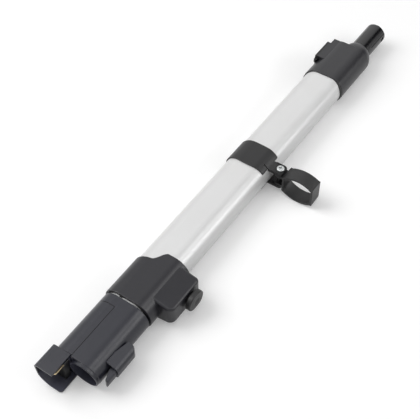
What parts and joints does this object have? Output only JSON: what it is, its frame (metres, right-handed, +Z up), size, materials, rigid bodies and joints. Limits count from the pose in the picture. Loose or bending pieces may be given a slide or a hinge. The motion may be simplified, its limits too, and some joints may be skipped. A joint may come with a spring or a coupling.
{
  "type": "telescopic vacuum wand",
  "caption": "Telescopic suction wand: oval metal tubes that slide and lock, dark moulded collars, round neck, latching nozzle socket with power contacts, and a clipped tool ring.",
  "frame": {"origin": "centre of the neck's open end, on the neck's axis", "axes": "+X along the wand and out of the neck, +Z up, +Y to the side with the wire channel"},
  "size_m": [0.7372, 0.1279, 0.0436],
  "materials": {
    "tube_metal": "satin, pale silver",
    "collar_plastic": "dark grey with a fine grain",
    "fitting_plastic": "mid dark grey with a fine grain",
    "black_plastic": "near black, slightly glossy",
    "bush_plastic": "plain, smooth",
    "seal_rubber": "soft, dull",
    "contact_brass": "bright",
    "steel": "bright, plated"
  },
  "bodies": {
    "outer": {"outer_tube": "tube_metal", "upper_collar": "collar_plastic", "plug_block": "black_plastic", "plug_pins": "contact_brass", "plug_cover": "black_plastic", "upper_seal": "seal_rubber", "lower_collar": "collar_plastic", "guide_bush": "black_plastic", "button_plate": "collar_plastic", "lock_pin": "steel", "lock_spring": "steel", "clip_band": "black_plastic", "clip_screw": "steel", "clip_nut": "steel"},
    "button": {"release_button": "black_plastic"},
    "lock": {"lock_lever": "black_plastic"},
    "ring": {"tool_ring": "black_plastic"},
    "inner": {"inner_tube": "tube_metal", "slide_bush": "bush_plastic", "air_seal": "seal_rubber", "end_fitting": "fitting_plastic", "nozzle_seal": "seal_rubber", "channel_cover": "fitting_plastic", "plug_shroud": "fitting_plastic", "contact_base": "black_plastic", "contact_blades": "contact_brass", "latch_spring": "steel"},
    "latch": {"latch_pedal": "fitting_plastic", "latch_hook": "fitting_plastic", "latch_pin": "steel"}
  },
  "joints": [
    {"name": "telescope", "type": "slide", "parent": "outer", "child": "inner", "axis": [-1, 0, 0], "range_m": [0, 0.27]},
    {"name": "button_press", "type": "slide", "parent": "outer", "child": "button", "axis": [0, 1, 0], "range_m": [0, 0.003], "stiffness_N_per_m": 400, "springref_m": -0.003},
    {"name": "lock_swing", "type": "hinge", "parent": "outer", "child": "lock", "pos_m": [-0.572, -0.0318, 0], "axis": [0, 0, 1], "range_deg": [0, 11.5], "deforming": ["lock_spring"]},
    {"name": "ring_swivel", "type": "hinge", "parent": "outer", "child": "ring", "pos_m": [-0.3325, -0.0328, 0], "axis": [0, 0, 1], "range_deg": [-40, 40]},
    {"name": "latch_press", "type": "hinge", "parent": "inner", "child": "latch", "pos_m": [-0.6717, -0.0314, 0], "axis": [0, 0, 1], "range_deg": [0, 6], "stiffness_Nm_per_rad": 0.5, "springref_deg": -5.73, "deforming": ["latch_spring"]}
  ],
  "couplings": [
    {"joint": "lock_swing", "follows": "button_press", "rad_per_m": 66.6}
  ]
}
